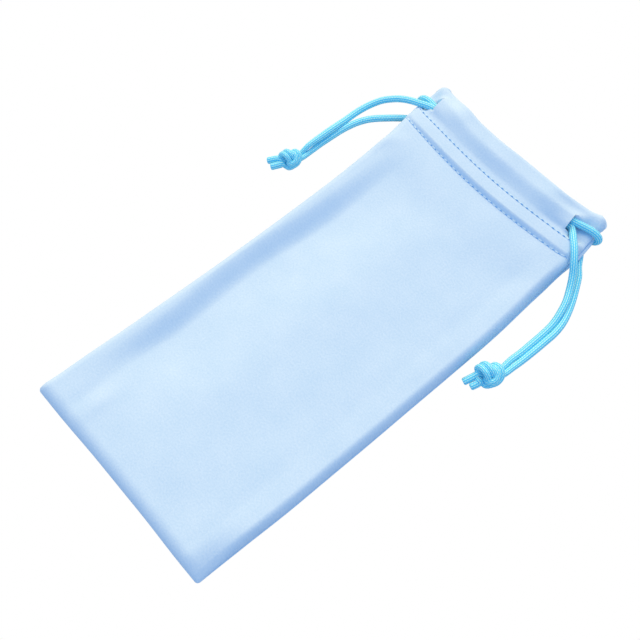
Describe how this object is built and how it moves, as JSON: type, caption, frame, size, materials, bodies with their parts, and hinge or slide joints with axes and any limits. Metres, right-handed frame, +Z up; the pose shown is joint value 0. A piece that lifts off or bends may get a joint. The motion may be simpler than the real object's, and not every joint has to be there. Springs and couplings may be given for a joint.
{
  "type": "eyeglass pouch",
  "caption": "Soft light blue microfibre drawstring pouch for spectacles, lying flat, with braided sky-blue cords that run through a stitched casing at the mouth and end in knots.",
  "frame": {"origin": "on the table, under the middle of the cloth", "axes": "+Y along the pouch towards its mouth, +X across it to the right as seen from above, +Z up from the table"},
  "size_m": [0.1175, 0.18, 0.0123],
  "materials": {
    "cloth": "matt light blue microfibre",
    "thread": "fine sewing thread",
    "cord": "sky-blue braided cord with a slight sheen"
  },
  "bodies": {
    "pouch": {"front_panel": "cloth", "back_panel": "cloth", "front_hem_facing": "cloth", "back_hem_facing": "cloth", "front_lower_stitching": "thread", "front_upper_stitching": "thread", "back_lower_stitching": "thread", "back_upper_stitching": "thread", "left_seam_allowance": "cloth", "right_seam_allowance": "cloth", "bottom_seam_allowance": "cloth", "left_seam_thread": "thread", "right_seam_thread": "thread", "bottom_seam_thread": "thread"},
    "right_cord": {"right_cord_hairpin": "cord", "right_cord_front_tail": "cord", "right_cord_back_tail": "cord", "right_cord_knot": "cord", "right_cord_front_end": "cord", "right_cord_back_end": "cord"},
    "left_cord": {"left_cord_hairpin": "cord", "left_cord_front_tail": "cord", "left_cord_back_tail": "cord", "left_cord_knot": "cord", "left_cord_front_end": "cord", "left_cord_back_end": "cord"}
  },
  "joints": [
    {"name": "right_cord_draw", "type": "slide", "parent": "pouch", "child": "right_cord", "axis": [1, 0, 0], "range_m": [0, 0.018], "deforming": ["right_cord_hairpin", "left_cord_hairpin"]},
    {"name": "left_cord_draw", "type": "slide", "parent": "pouch", "child": "left_cord", "axis": [-1, 0, 0], "range_m": [0, 0.018], "deforming": ["left_cord_hairpin", "right_cord_hairpin"]}
  ]
}
